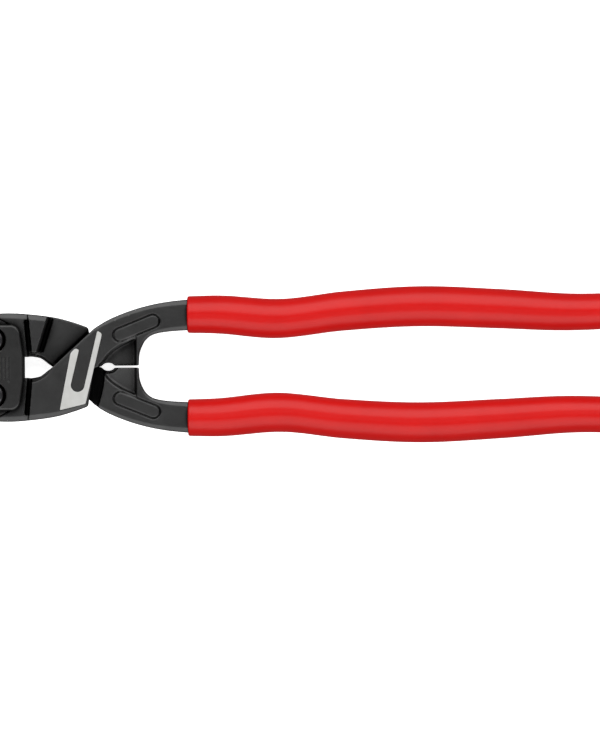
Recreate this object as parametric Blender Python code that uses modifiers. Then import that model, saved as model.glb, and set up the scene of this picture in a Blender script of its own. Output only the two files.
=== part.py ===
"""Compact bolt cutters: two identical crossed forgings between two side plates.

Metres, +Z up. The tool lies flat with its rear plate down on Z = 0. X runs along the tool from
the blades (-X) to the handle ends (+X), and the upper handle is at +Y. Both levers turn about
bolts at PLATE_X, one below and one above the tool's axis. The upper lever carries the lower blade.
Distances named as reaches are measured along X from the plate centre.
"""

import math

import bmesh
import bpy
from mathutils import Matrix, Vector

# Overall sizes
OVERALL_LENGTH = 0.250
HEAD_HALF_WIDTH = 0.01884
LEVER_THICKNESS = 0.0120
TIP_REACH = 0.0184

# Clearances
GAP = 0.0003
LAP_GAP = 0.0003
KNUCKLE_CLEARANCE = 0.00025

# Side plates and the seats that they lie in
PLATE_THICKNESS = 0.0028
SEAT_DEPTH = 0.0012
PLATE_LEFT_REACH = -0.0077
PLATE_RIGHT_REACH = 0.0108
PLATE_TAPER = 0.0018
PLATE_CORNER = 0.0036
PLATE_MARGIN = 0.00535
PLATE_EDGE_ROUND = 0.0006

# Pivots
BOLT_OFFSET = 0.00955
BOLT_RADIUS = 0.0035
HEAD_LEDGE = 0.0010
HEAD_SINK = 0.0002
HEAD_WEB = 0.0010
DRIVE_RADIUS = 0.0017
SLOT_WIDTH = 0.0014
SLOT_DEPTH = 0.0007
BUSH_WALL = 0.0010
WASHER_THICKNESS = 0.0005
WASHER_MARGIN = 0.0019
KNUCKLE_RADIUS = 0.0017
TRAVEL_DEG = 15.0

# Head of the lever forging
BLADE_HALF_GAP = 0.00015
BLADE_BEVEL_DEPTH = 0.0062
BLADE_EDGE_HALF = 0.0003
THROAT_HALF_HEIGHT = 0.0037
THROAT_TIP_REACH = 0.0208
CROSS_REACH = 0.0344
CROSS_STEP = 0.00644
SHOULDER_GAP = 0.0045
STEP_CLEARANCE = 0.0005
WEDGE_MARGIN = 0.0015
CHANNEL_WIDTH = 0.0012
CHANNEL_DEPTH = 0.0016
CHANNEL_SLANT = 0.0010
CHANNEL_LAND = 0.0014
RELIEF_DEPTH = 0.0015
LEVER_EDGE_ROUND = 0.0006

# Handle root, from the eye to the grip
EYE_HALF_HEIGHT = 0.00135
SLIT_HALF = 0.00035
WEB_LENGTH = 0.0161
WEB_LIP = 0.0010
WEB_RECESS_DEPTH = 0.0030
PILL_LENGTH = 0.0176
PILL_WIDTH = 0.0053
PILL_DEPTH = 0.0004
BAND_PILL_LENGTH = 0.0180
BAND_PILL_WIDTH = 0.0049
BAND_PILL_DEPTH = 0.0005

# Handle bars and grips
BAR_WIDTH = 0.0107
BAR_STEP = 0.00045
SHANK_LENGTH = 0.0171
GRIP_WALL = 0.0012
GRIP_COLLAR_ROUND = 0.0010
TANG_END_WALL = 0.0060
TANG_OVERLAP = 0.0030
TANG_EDGE_ROUND = 0.0012
HANDLE_OFFSET = 0.0179
SECTION_POWER = 3.4

# How far the handle's centre line lies outside HANDLE_OFFSET, at shares of the grip's length
HANDLE_LINE = (
    (0.000, 0.0),
    (0.070, -0.0001),
    (0.195, -0.0016),
    (0.330, 0.0008),
    (0.490, 0.00225),
    (0.660, 0.0012),
    (0.800, -0.0001),
    (0.900, 0.0002),
    (1.000, 0.0015),
)
# How much the grip's half width swells, at shares of its length
GRIP_SWELL = (
    (0.00, 0.0),
    (0.13, 0.00045),
    (0.25, 0.00040),
    (0.52, 0.00060),
    (0.70, 0.00040),
    (0.87, -0.00010),
    (1.00, 0.00010),
)

# Places worked out from the sizes
PLATE_X = -OVERALL_LENGTH / 2 + TIP_REACH
HANDLE_END = OVERALL_LENGTH / 2
PLATE_RISE = PLATE_THICKNESS + GAP - SEAT_DEPTH
LEVER_LOW = PLATE_RISE
LEVER_HIGH = LEVER_LOW + LEVER_THICKNESS
MIDDLE = (LEVER_LOW + LEVER_HIGH) / 2
TOP = LEVER_HIGH + PLATE_RISE
SEAT_HIGH = LEVER_HIGH - SEAT_DEPTH
SEAT_LOW = LEVER_LOW + SEAT_DEPTH
PITCH_RADIUS = BOLT_OFFSET
BOSS_RADIUS = PITCH_RADIUS - BLADE_HALF_GAP
HEAD_RADIUS = BOLT_RADIUS + HEAD_LEDGE
HEAD_HEIGHT = PLATE_THICKNESS - HEAD_WEB - GAP - HEAD_SINK
BUSH_OUTER = BOLT_RADIUS + GAP + BUSH_WALL
LEVER_BORE = BUSH_OUTER + GAP
WASHER_OUTER = BOSS_RADIUS - WASHER_MARGIN
WASHER_POCKET = WASHER_THICKNESS + GAP
PLATE_HALF_HEIGHT = BOLT_OFFSET + PLATE_MARGIN
CROSS_HALF_WIDTH = HEAD_HALF_WIDTH - CROSS_STEP
SHOULDER_RADIUS = CROSS_REACH + SHOULDER_GAP
WEDGE_INNER = THROAT_HALF_HEIGHT + WEDGE_MARGIN
CHANNEL_END = PLATE_HALF_HEIGHT + 0.0013
WEB_END_REACH = CROSS_REACH + WEB_LENGTH
GRIP_START = PLATE_X + WEB_END_REACH + SHANK_LENGTH
GRIP_LENGTH = HANDLE_END - GRIP_START
TANG_END = HANDLE_END - TANG_END_WALL
TANG_HALF_WIDTH = BAR_WIDTH / 2 - BAR_STEP
ROOT_INNER = HANDLE_OFFSET - BAR_WIDTH / 2
ROOT_OUTER = HANDLE_OFFSET + BAR_WIDTH / 2
BEYOND = 0.010
ARC_STEP = math.radians(12)

parts = bpy.data.collections.new("bolt_cutters")
cutters = bpy.data.collections.new("cutters")


# ---------------------------------------------------------------- scene and helpers


def clear_scene():
    for old in list(bpy.data.objects):
        bpy.data.objects.remove(old, do_unlink=True)
    bpy.context.scene.collection.children.link(parts)
    bpy.context.scene.collection.children.link(cutters)


def make_material(name, colour, roughness, metallic):
    material = bpy.data.materials.new(name)
    material.use_nodes = True
    shader = material.node_tree.nodes["Principled BSDF"]
    shader.inputs["Base Color"].default_value = (*colour, 1.0)
    shader.inputs["Roughness"].default_value = roughness
    shader.inputs["Metallic"].default_value = metallic
    return material


def at_reach(reach, y):
    """A plan point at a distance along X from the plate centre."""
    return (PLATE_X + reach, y)


def arc(centre, radius, start, end):
    """Points along an arc, angles in radians, both ends included."""
    steps = max(2, math.ceil(abs(end - start) / ARC_STEP))
    points = []
    for i in range(steps + 1):
        angle = start + (end - start) * i / steps
        points.append((centre[0] + radius * math.cos(angle), centre[1] + radius * math.sin(angle)))
    return points


def smooth(points, steps):
    """A Catmull-Rom curve through the points, with this many steps between each two."""
    ends = [points[0], *points, points[-1]]
    result = []
    for a, b, c, d in zip(ends, ends[1:], ends[2:], ends[3:]):
        for i in range(steps):
            t = i / steps
            result.append(
                tuple(
                    0.5 * (2 * q + (r - p) * t + (2 * p - 5 * q + 4 * r - s) * t * t
                           + (3 * q - p - 3 * r + s) * t ** 3)
                    for p, q, r, s in zip(a, b, c, d)
                )
            )
    result.append(points[-1])
    return result


def stadium(centre, length, width, angle):
    """The outline of a pill shape."""
    along = Vector((math.cos(angle), math.sin(angle))) * (length - width) / 2
    middle = Vector(centre)
    right = arc(middle + along, width / 2, angle - math.pi / 2, angle + math.pi / 2)
    left = arc(middle - along, width / 2, angle + math.pi / 2, angle + 3 * math.pi / 2)
    return right + left


def add_object(name, mesh, collection):
    obj = bpy.data.objects.new(name, mesh)
    collection.objects.link(obj)
    if collection == cutters:
        obj.hide_render = True
        obj.display_type = "WIRE"
    return obj


def flat_body(name, outline, low, high, collection=cutters):
    """A flat outline extruded from low to high, made as a filled 2D curve and turned into a mesh."""
    curve = bpy.data.curves.new(name, "CURVE")
    curve.dimensions = "2D"
    curve.fill_mode = "BOTH"
    curve.extrude = (high - low) / 2
    spline = curve.splines.new("POLY")
    spline.points.add(len(outline) - 1)
    for point, (x, y) in zip(spline.points, outline):
        point.co = (x, y, 0.0, 1.0)
    spline.use_cyclic_u = True
    drawn = bpy.data.objects.new(name + "_curve", curve)
    cutters.objects.link(drawn)
    evaluated = drawn.evaluated_get(bpy.context.evaluated_depsgraph_get())
    mesh = bpy.data.meshes.new_from_object(evaluated)
    bpy.data.objects.remove(drawn, do_unlink=True)
    mesh.transform(Matrix.Translation((0.0, 0.0, (low + high) / 2)))
    body = bmesh.new()
    body.from_mesh(mesh)
    bmesh.ops.remove_doubles(body, verts=body.verts, dist=1e-6)
    bmesh.ops.dissolve_limit(
        body, angle_limit=math.radians(0.5), verts=body.verts, edges=body.edges, delimit={"NORMAL"}
    )
    bmesh.ops.recalc_face_normals(body, faces=body.faces)
    body.to_mesh(mesh)
    body.free()
    mesh.name = name
    return add_object(name, mesh, collection)


def turned_body(name, profile, place, collection=cutters, steps=32):
    """A closed profile of (radius, z) points, top to bottom on its outer side, turned about Z."""
    mesh = bpy.data.meshes.new(name)
    edges = [(i, i + 1) for i in range(len(profile) - 1)]
    hollow = profile[0][0] > 0
    if hollow:
        edges.append((len(profile) - 1, 0))
    mesh.from_pydata([(radius, 0.0, z) for radius, z in profile], edges, [])
    obj = add_object(name, mesh, collection)
    obj.location = (place[0], place[1], 0.0)
    screw = obj.modifiers.new("turn", "SCREW")
    screw.steps = steps
    screw.render_steps = steps
    screw.use_merge_vertices = True
    screw.merge_threshold = 1e-5
    screw.use_smooth_shade = False
    return obj


def round_edges(obj, width, segments=1, angle=50):
    bevel = obj.modifiers.new("rounded_edges", "BEVEL")
    bevel.width = width
    bevel.segments = segments
    bevel.limit_method = "ANGLE"
    bevel.angle_limit = math.radians(angle)
    return bevel


def combine(obj, other, operation):
    boolean = obj.modifiers.new(operation.lower(), "BOOLEAN")
    boolean.operation = operation
    boolean.object = other
    boolean.solver = "EXACT"
    return boolean


def cut(obj, *others):
    for other in others:
        combine(obj, other, "DIFFERENCE")


def settle(obj):
    """Replaces the object's mesh by its evaluated one, so that another object can share it."""
    evaluated = obj.evaluated_get(bpy.context.evaluated_depsgraph_get())
    mesh = bpy.data.meshes.new_from_object(evaluated)
    obj.modifiers.clear()
    obj.data = mesh
    return obj


def finish(obj, material, smooth_angle=35):
    """Gives a part its material and its shading."""
    obj.data.materials.clear()
    obj.data.materials.append(material)
    obj.data.shade_smooth()
    obj.data.set_sharp_from_angle(angle=math.radians(smooth_angle))
    return obj


def turned_over(obj, name):
    """The same piece turned half round about the tool's long axis."""
    twin = add_object(name, obj.data, parts)
    twin.matrix_world = Matrix.Translation((0, 0, MIDDLE)) @ Matrix.Rotation(math.pi, 4, "X")
    twin.matrix_world = twin.matrix_world @ Matrix.Translation((0, 0, -MIDDLE))
    return twin


# ---------------------------------------------------------------- handle line


def between(knots, t):
    """A smooth value through (share, value) knots."""
    last = len(knots) - 1
    i = max(k for k in range(last) if knots[k][0] <= max(t, 0.0))
    (t0, v0), (t1, v1) = knots[i], knots[i + 1]
    before = knots[max(i - 1, 0)]
    after = knots[min(i + 2, last)]
    slope0 = (v1 - before[1]) / (t1 - before[0])
    slope1 = (after[1] - v0) / (after[0] - t0)
    span = t1 - t0
    u = (t - t0) / span
    smooth_step = u * u * (3 - 2 * u)
    value = v0 + (v1 - v0) * smooth_step
    return value + span * (slope0 * u * (1 - u) ** 2 - slope1 * u * u * (1 - u))


def handle_centre(x):
    """The height of the handle's centre line: an inward waist, an outward belly and a flared end."""
    return HANDLE_OFFSET + between(HANDLE_LINE, (x - GRIP_START) / GRIP_LENGTH)


def grip_half_width(x):
    swell = between(GRIP_SWELL, (x - GRIP_START) / GRIP_LENGTH)
    return TANG_HALF_WIDTH + GAP + GRIP_WALL + swell


def tang_edge(places, side, extra=0.0):
    """Plan points along one side of the handle bar inside the grip."""
    offset = side * (TANG_HALF_WIDTH + extra)
    return [(x, handle_centre(x) + offset) for x in places]


def stations(start, end, count):
    return [start + (end - start) * i / (count - 1) for i in range(count)]


# ---------------------------------------------------------------- lever forging


def head_edge():
    """The outer edge of the lower half of the head, from the blade tip to the crossing."""
    return smooth(
        [
            at_reach(-TIP_REACH, -0.27 * HEAD_HALF_WIDTH),
            at_reach(-TIP_REACH + 0.0012, -0.44 * HEAD_HALF_WIDTH),
            at_reach(-TIP_REACH + 0.0050, -0.68 * HEAD_HALF_WIDTH),
            at_reach(-TIP_REACH + 0.0108, -0.90 * HEAD_HALF_WIDTH),
            at_reach(-0.0010, -0.98 * HEAD_HALF_WIDTH),
            at_reach(0.0066, -HEAD_HALF_WIDTH),
            at_reach(0.0149, -0.966 * HEAD_HALF_WIDTH),
            at_reach(0.0219, -0.913 * HEAD_HALF_WIDTH),
            at_reach(0.0274, -0.834 * HEAD_HALF_WIDTH),
            at_reach(CROSS_REACH - 0.0026, -CROSS_HALF_WIDTH - 0.0018),
        ],
        3,
    )


def crossing_edge():
    """The arm's rounded corner, its straight right edge, the eye and the slit."""
    eye_start = CROSS_REACH + 0.0033
    eye_length = 0.0048
    rise = ((0.0, GAP / 2), (0.23, 0.8 * EYE_HALF_HEIGHT), (0.5, EYE_HALF_HEIGHT))
    fall = ((0.77, 0.8 * EYE_HALF_HEIGHT), (1.0, GAP / 2))
    eye = [at_reach(eye_start + share * eye_length, y) for share, y in rise + fall]
    return [
        at_reach(CROSS_REACH - 0.0014, -CROSS_HALF_WIDTH - 0.0012),
        at_reach(CROSS_REACH - 0.0013, -CROSS_HALF_WIDTH - 0.0005),
        at_reach(CROSS_REACH + 0.0010, -GAP),
        *eye,
        at_reach(eye_start + eye_length + 0.0015, GAP / 2),
        at_reach(eye_start + eye_length + 0.0030, SLIT_HALF),
        at_reach(WEB_END_REACH, SLIT_HALF),
    ]


def inner_root_edge():
    """The hollow curve from the web's end up to the shoulder in front of the grip."""
    return smooth(
        [
            at_reach(WEB_END_REACH + 0.0002, 0.30 * ROOT_INNER),
            at_reach(WEB_END_REACH + 0.0008, 0.48 * ROOT_INNER),
            at_reach(WEB_END_REACH + 0.0025, 0.73 * ROOT_INNER),
            at_reach(WEB_END_REACH + 0.0055, 0.89 * ROOT_INNER),
            at_reach(WEB_END_REACH + 0.0110, 0.965 * ROOT_INNER),
            (GRIP_START - GAP, ROOT_INNER),
        ],
        2,
    )


def outer_root_edge():
    """The outer curve from the shoulder in front of the grip down to the crossing."""
    return smooth(
        [
            (GRIP_START - GAP, ROOT_OUTER),
            at_reach(WEB_END_REACH + 0.0110, 0.966 * ROOT_OUTER),
            at_reach(WEB_END_REACH + 0.0040, 0.912 * ROOT_OUTER),
            at_reach(WEB_END_REACH - 0.0030, 0.826 * ROOT_OUTER),
            at_reach(WEB_END_REACH - 0.0099, 0.706 * ROOT_OUTER),
            at_reach(CROSS_REACH + 0.0014, 0.585 * ROOT_OUTER),
            at_reach(CROSS_REACH, CROSS_HALF_WIDTH),
        ],
        2,
    )


def throat_edge():
    """The lower edge of the throat, from its tip to the boss."""
    shape = ((0.0, 0.0), (0.0017, 0.33), (0.0031, 0.63), (0.0045, 0.86), (0.0073, 1.0), (0.0086, 0.97))
    return [at_reach(THROAT_TIP_REACH - back, -share * THROAT_HALF_HEIGHT) for back, share in shape]


def lever_outline():
    """The upper lever's plan outline up to its grip, anticlockwise from the blade tip."""
    boss_start = math.asin((BOLT_OFFSET - THROAT_HALF_HEIGHT) / BOSS_RADIUS)
    boss = arc((PLATE_X, -BOLT_OFFSET), BOSS_RADIUS, boss_start, math.pi / 2)
    blade = [
        at_reach(-0.0030, -BLADE_HALF_GAP),
        at_reach(-TIP_REACH + 0.0008, -BLADE_HALF_GAP),
        at_reach(-TIP_REACH, -BLADE_HALF_GAP - 0.0008),
    ]
    return [
        *head_edge(),
        *crossing_edge(),
        *inner_root_edge(),
        *outer_root_edge(),
        *throat_edge(),
        *boss,
        *blade,
    ]


def bar_body(name, start, end, extra):
    """The handle bar inside the grip, or with extra all round it, the hollow that it fills."""
    places = stations(start, end, 18)
    outline = [*tang_edge(places, -1, extra), *tang_edge(reversed(places), 1, extra)]
    bar = flat_body(name, outline, LEVER_LOW - extra, LEVER_HIGH + extra)
    round_edges(bar, TANG_EDGE_ROUND)
    return bar


def step_wall():
    """Two points of the other arm's slanted edge at full opening, seen from this lever, with clearance."""
    turn = Matrix.Rotation(math.radians(2 * TRAVEL_DEG), 2)
    near = turn @ Vector((THROAT_TIP_REACH, 0.0))
    far = turn @ Vector((CROSS_REACH, CROSS_HALF_WIDTH))
    slope = (far.x - near.x) / (far.y - near.y)
    result = []
    for y in (WEDGE_INNER, HEAD_HALF_WIDTH + BEYOND):
        result.append(at_reach(near.x + slope * (y - near.y) - STEP_CLEARANCE, -y))
    return result


def lap_pocket():
    """Takes away the rear half of the crossing arm, from the wedge's step wall to the shoulder."""
    step_inner, step_outer = step_wall()
    outline = [
        step_outer,
        *arc((PLATE_X, 0.0), SHOULDER_RADIUS, math.radians(-38), math.radians(30)),
        at_reach(PLATE_RIGHT_REACH + 0.0042, HEAD_HALF_WIDTH + BEYOND),
        at_reach(PLATE_RIGHT_REACH - 0.0008, 0.0),
        at_reach(PLATE_RIGHT_REACH + 0.0020, -WEDGE_INNER),
        step_inner,
    ]
    return flat_body("lap_pocket", outline, LEVER_LOW - BEYOND, MIDDLE + LAP_GAP / 2)


def channel_reach(y):
    """The reach of the channel's left edge at a height, upright near the throat and slanted below."""
    inner = PLATE_RIGHT_REACH + CHANNEL_LAND
    share = max(0.0, (-WEDGE_INNER - y) / (CHANNEL_END - WEDGE_INNER))
    return inner - CHANNEL_SLANT * share


def seat_cutters():
    """The lowered seats under both plates, up to the channel beside them."""
    outside = -HEAD_HALF_WIDTH - BEYOND
    half_channel = CHANNEL_WIDTH / 2
    outline = [
        at_reach(-TIP_REACH - BEYOND, outside),
        at_reach(channel_reach(outside) + half_channel, outside),
        at_reach(channel_reach(-WEDGE_INNER) + half_channel, -WEDGE_INNER),
        at_reach(channel_reach(0.0) + half_channel, 0.0),
        at_reach(channel_reach(0.0), BEYOND),
        at_reach(-TIP_REACH - BEYOND, BEYOND),
    ]
    front = flat_body("front_seat", outline, SEAT_HIGH, LEVER_HIGH + BEYOND)
    rear = flat_body("rear_seat", outline, LEVER_LOW - BEYOND, SEAT_LOW)
    return [front, rear]


def channel_cutters():
    """A narrow slanted groove beside each plate, on both faces."""
    left = [at_reach(channel_reach(y), y) for y in (-CHANNEL_END, -WEDGE_INNER, 0.0)]
    right = [(x + CHANNEL_WIDTH, y) for x, y in reversed(left)]
    front = flat_body("front_channel", left + right, SEAT_HIGH - CHANNEL_DEPTH, LEVER_HIGH + BEYOND)
    rear = flat_body("rear_channel", left + right, LEVER_LOW - BEYOND, SEAT_LOW + CHANNEL_DEPTH)
    return [front, rear]


def throat_relief():
    """Lowers the front face round the throat, where the other lever's wedge passes."""
    outline = [
        at_reach(PLATE_RIGHT_REACH + 0.0010, 0.0),
        at_reach(PLATE_RIGHT_REACH + 0.0010, -WEDGE_INNER),
        at_reach(THROAT_TIP_REACH - 0.0052, -WEDGE_INNER),
        at_reach(THROAT_TIP_REACH - 0.0023, -0.95 * THROAT_HALF_HEIGHT),
        at_reach(THROAT_TIP_REACH - 0.0003, -0.32 * THROAT_HALF_HEIGHT),
        at_reach(THROAT_TIP_REACH - 0.0003, 0.0),
    ]
    return flat_body("throat_relief", outline, LEVER_HIGH - RELIEF_DEPTH, LEVER_HIGH + BEYOND)


def blade_cutters():
    """Grinds the blade to an edge from both faces, in front of the plates."""
    result = []
    length = TIP_REACH + PLATE_LEFT_REACH + BEYOND
    half = LEVER_THICKNESS / 2 - SEAT_DEPTH
    for side in (-1, 1):
        section = [
            (-BLADE_HALF_GAP, BLADE_EDGE_HALF),
            (-BLADE_BEVEL_DEPTH, half),
            (-BLADE_BEVEL_DEPTH, half + BEYOND),
            (BEYOND, half + BEYOND),
            (BEYOND, BLADE_EDGE_HALF),
        ]
        # The section is drawn in Y and Z: the flat body's X and Y turned to lie across the blade.
        cutter = flat_body("blade_bevel", section, -length / 2, length / 2)
        turn = Matrix(((0, 0, 1), (1, 0, 0), (0, side, 0))).to_4x4()
        middle = PLATE_X + PLATE_LEFT_REACH - GAP - length / 2
        cutter.data.transform(Matrix.Translation((middle, 0.0, MIDDLE)) @ turn)
        if turn.determinant() < 0:
            cutter.data.flip_normals()
        result.append(cutter)
    return result


def web_cutters():
    """Sunken webs beside the slit, on both faces, open to the eye and leaving a lip at their end."""
    lip = WEB_END_REACH - WEB_LIP
    outline = [
        at_reach(CROSS_REACH + 0.0034, -EYE_HALF_HEIGHT),
        at_reach(lip, -EYE_HALF_HEIGHT),
        at_reach(lip, 0.765 * ROOT_INNER),
        at_reach(lip - 0.0019, 0.70 * ROOT_INNER),
        at_reach(lip - 0.0054, 0.58 * ROOT_INNER),
        at_reach(lip - 0.0089, 0.39 * ROOT_INNER),
        at_reach(lip - 0.0110, 0.19 * ROOT_INNER),
    ]
    front = flat_body("front_web", outline, LEVER_HIGH - WEB_RECESS_DEPTH, LEVER_HIGH + BEYOND)
    rear = flat_body("rear_web", outline, LEVER_LOW - BEYOND, LEVER_LOW + WEB_RECESS_DEPTH)
    return [front, rear]


def pill_cutters():
    """Shallow pill recesses: one on each face of the root, and one in the polished band."""
    place = at_reach(WEB_END_REACH - 0.0005, 0.745 * HANDLE_OFFSET)
    root = stadium(place, PILL_LENGTH, PILL_WIDTH, math.radians(22))
    front = flat_body("front_pill", root, LEVER_HIGH - PILL_DEPTH, LEVER_HIGH + BEYOND)
    rear = flat_body("rear_pill", root, LEVER_LOW - BEYOND, LEVER_LOW + PILL_DEPTH)
    band_place = at_reach(CROSS_REACH - 0.0032, 0.0010)
    band = stadium(band_place, BAND_PILL_LENGTH, BAND_PILL_WIDTH, math.radians(77))
    middle = flat_body("band_pill", band, LEVER_HIGH - BAND_PILL_DEPTH, LEVER_HIGH + BEYOND)
    return [front, rear, middle]


def knuckle_place(side):
    """The knuckle's place on the pitch circle, at rest, half the travel before the line of bolts."""
    angle = math.radians(90 - TRAVEL_DEG / 2)
    along = PLATE_X + PITCH_RADIUS * math.cos(angle)
    return (along, side * (PITCH_RADIUS * math.sin(angle) - BOLT_OFFSET))


def knuckle():
    """A round knuckle on the front half of the boss, which turns in the other lever's notch."""
    top = SEAT_HIGH
    bottom = MIDDLE + LAP_GAP / 2
    profile = [(0.0, top), (KNUCKLE_RADIUS, top), (KNUCKLE_RADIUS, bottom), (0.0, bottom)]
    return turned_body("knuckle", profile, knuckle_place(1), steps=24)


def notch():
    """The notch for the other lever's knuckle, in the rear half of the boss."""
    place = knuckle_place(1)
    radius = KNUCKLE_RADIUS + KNUCKLE_CLEARANCE
    boss = Vector((PLATE_X, -BOLT_OFFSET))
    out = (Vector(place) - boss).normalized()
    angle = math.atan2(out.y, out.x)
    far = Vector(place) + out * BEYOND
    outline = [
        *arc(place, radius, angle + math.pi / 2, angle + 3 * math.pi / 2),
        tuple(far + Vector((out.y, -out.x)) * radius),
        tuple(far - Vector((out.y, -out.x)) * radius),
    ]
    return flat_body("notch", outline, LEVER_LOW - BEYOND, MIDDLE + LAP_GAP / 2)


def bore_cutters():
    """The bush's bore and the two washer pockets round it."""
    place = (PLATE_X, -BOLT_OFFSET)
    profile = [
        (0.0, SEAT_HIGH + BEYOND),
        (WASHER_OUTER + GAP, SEAT_HIGH + BEYOND),
        (WASHER_OUTER + GAP, SEAT_HIGH - WASHER_POCKET),
        (LEVER_BORE, SEAT_HIGH - WASHER_POCKET),
        (LEVER_BORE, SEAT_LOW + WASHER_POCKET),
        (WASHER_OUTER + GAP, SEAT_LOW + WASHER_POCKET),
        (WASHER_OUTER + GAP, SEAT_LOW - BEYOND),
        (0.0, SEAT_LOW - BEYOND),
    ]
    return turned_body("lever_bore", profile, place, steps=32)


def make_levers(material):
    upper = flat_body("upper_lever", lever_outline(), LEVER_LOW, LEVER_HIGH, parts)
    round_edges(upper, LEVER_EDGE_ROUND)
    cut(upper, *seat_cutters(), lap_pocket(), throat_relief(), *channel_cutters())
    cut(upper, *blade_cutters(), *web_cutters(), *pill_cutters(), notch())
    combine(upper, bar_body("handle_bar", GRIP_START - TANG_OVERLAP, TANG_END, 0.0), "UNION")
    combine(upper, knuckle(), "UNION")
    cut(upper, bore_cutters())
    settle(upper)
    finish(upper, material)
    lower = turned_over(upper, "lower_lever")
    return upper, lower


# ---------------------------------------------------------------- grips


def grip_section(x, half_width, half_height, count=24):
    """A soft rounded-rectangle section across the handle."""
    power = 2 / SECTION_POWER
    points = []
    for i in range(count):
        c = math.cos(2 * math.pi * i / count)
        s = math.sin(2 * math.pi * i / count)
        y = handle_centre(x) + half_width * math.copysign(abs(c) ** power, c)
        z = MIDDLE + half_height * math.copysign(abs(s) ** power, s)
        points.append(Vector((x, y, z)))
    return points


def loft(name, sections, collection):
    """A closed body through sections of equal point counts, with a flat face at each end."""
    body = bmesh.new()
    rings = [[body.verts.new(point) for point in section] for section in sections]
    count = len(rings[0])
    for first, second in zip(rings, rings[1:]):
        for i in range(count):
            j = (i + 1) % count
            body.faces.new((first[i], first[j], second[j], second[i]))
    body.faces.new(rings[0])
    body.faces.new(rings[-1])
    bmesh.ops.recalc_face_normals(body, faces=body.faces)
    mesh = bpy.data.meshes.new(name)
    body.to_mesh(mesh)
    body.free()
    return add_object(name, mesh, collection)


def grip_inset(x):
    """How far the grip's surface draws in at its rounded collar and its rounded end."""
    half = grip_half_width(HANDLE_END)
    into_end = x - (HANDLE_END - half)
    into_collar = GRIP_START + GRIP_COLLAR_ROUND - x
    if into_end > 0:
        return 0.92 * (half - math.sqrt(max(0.0, half ** 2 - into_end ** 2)))
    if into_collar > 0:
        return 0.8 * (GRIP_COLLAR_ROUND - math.sqrt(max(0.0, GRIP_COLLAR_ROUND ** 2 - into_collar ** 2)))
    return 0.0


def make_grips(material):
    end_round = grip_half_width(HANDLE_END)
    places = [GRIP_START, GRIP_START + 0.3 * GRIP_COLLAR_ROUND]
    places += stations(GRIP_START + GRIP_COLLAR_ROUND, HANDLE_END - end_round, 22)
    for i in range(1, 7):
        places.append(HANDLE_END - end_round * (1 - math.sin(math.pi / 2 * i / 6)))
    sections = []
    for x in places:
        inset = grip_inset(x)
        sections.append(grip_section(x, grip_half_width(x) - inset, MIDDLE - inset))
    upper = loft("upper_grip", sections, parts)
    cut(upper, bar_body("grip_socket", GRIP_START - BEYOND, TANG_END + GAP, GAP))
    settle(upper)
    finish(upper, material)
    lower = turned_over(upper, "lower_grip")
    return upper, lower


# ---------------------------------------------------------------- side plates and pivots


def plate_outline():
    """A rounded plate that narrows from its middle towards both corners on its right side."""
    top = PLATE_HALF_HEIGHT
    right = PLATE_RIGHT_REACH
    corner = right - PLATE_TAPER
    sweep = math.radians(80)
    half = [
        at_reach(right, 0.24 * top),
        at_reach(right - 0.35 * PLATE_TAPER, 0.42 * top),
        *arc(at_reach(corner - PLATE_CORNER, top - PLATE_CORNER), PLATE_CORNER, 0.1, sweep),
        *arc(at_reach(PLATE_LEFT_REACH + PLATE_CORNER, top - PLATE_CORNER), PLATE_CORNER,
             math.pi - sweep, math.pi),
    ]
    return half + [(x, -y) for x, y in reversed(half)]


def make_plates(material):
    """Both side plates, each with two sunken seats for the bolt heads or nuts."""
    low = TOP - PLATE_THICKNESS
    front = flat_body("front_side_plate", plate_outline(), low, TOP, parts)
    round_edges(front, PLATE_EDGE_ROUND, 2)
    for side in (-1, 1):
        profile = [
            (0.0, TOP + BEYOND),
            (HEAD_RADIUS + GAP, TOP + BEYOND),
            (HEAD_RADIUS + GAP, low + HEAD_WEB),
            (BOLT_RADIUS + GAP, low + HEAD_WEB),
            (BOLT_RADIUS + GAP, low - BEYOND),
            (0.0, low - BEYOND),
        ]
        cut(front, turned_body("bolt_seat", profile, (PLATE_X, side * BOLT_OFFSET)))
    settle(front)
    finish(front, material)
    rear = turned_over(front, "rear_side_plate")
    return front, rear


def cutting_box(name, size, place):
    """A box cutter, from Blender's cube."""
    mesh = bpy.data.meshes.new(name)
    body = bmesh.new()
    bmesh.ops.create_cube(body, size=1.0)
    bmesh.ops.scale(body, vec=size, verts=body.verts)
    body.to_mesh(mesh)
    body.free()
    box = add_object(name, mesh, cutters)
    box.location = place
    return box


def make_bolt(name, side, material):
    """A bolt with a domed head sunk in the front plate, a hex drive and a stud that ends in the nut."""
    seat = TOP - PLATE_THICKNESS + HEAD_WEB + GAP
    crown = seat + HEAD_HEIGHT
    shoulder = seat + 0.55 * HEAD_HEIGHT
    end = PLATE_THICKNESS - HEAD_WEB - GAP - HEAD_HEIGHT + SLOT_DEPTH
    profile = [(0.0, crown)]
    for share in (0.35, 0.65, 0.88, 1.0):
        drop = (crown - shoulder) * (1 - math.sqrt(1 - share ** 2))
        profile.append((HEAD_RADIUS * share, crown - drop))
    profile += [(HEAD_RADIUS, seat), (BOLT_RADIUS, seat), (BOLT_RADIUS, end), (0.0, end)]
    bolt = turned_body(name, profile, (PLATE_X, side * BOLT_OFFSET), parts)
    depth = 0.4 * HEAD_HEIGHT
    drive_profile = [(0.0, crown + BEYOND), (DRIVE_RADIUS, crown + BEYOND)]
    drive_profile += [(DRIVE_RADIUS, crown - depth), (0.0, crown - depth)]
    drive = turned_body(name + "_drive", drive_profile, (PLATE_X, side * BOLT_OFFSET), steps=6)
    cut(bolt, drive)
    return finish(bolt, material)


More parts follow.
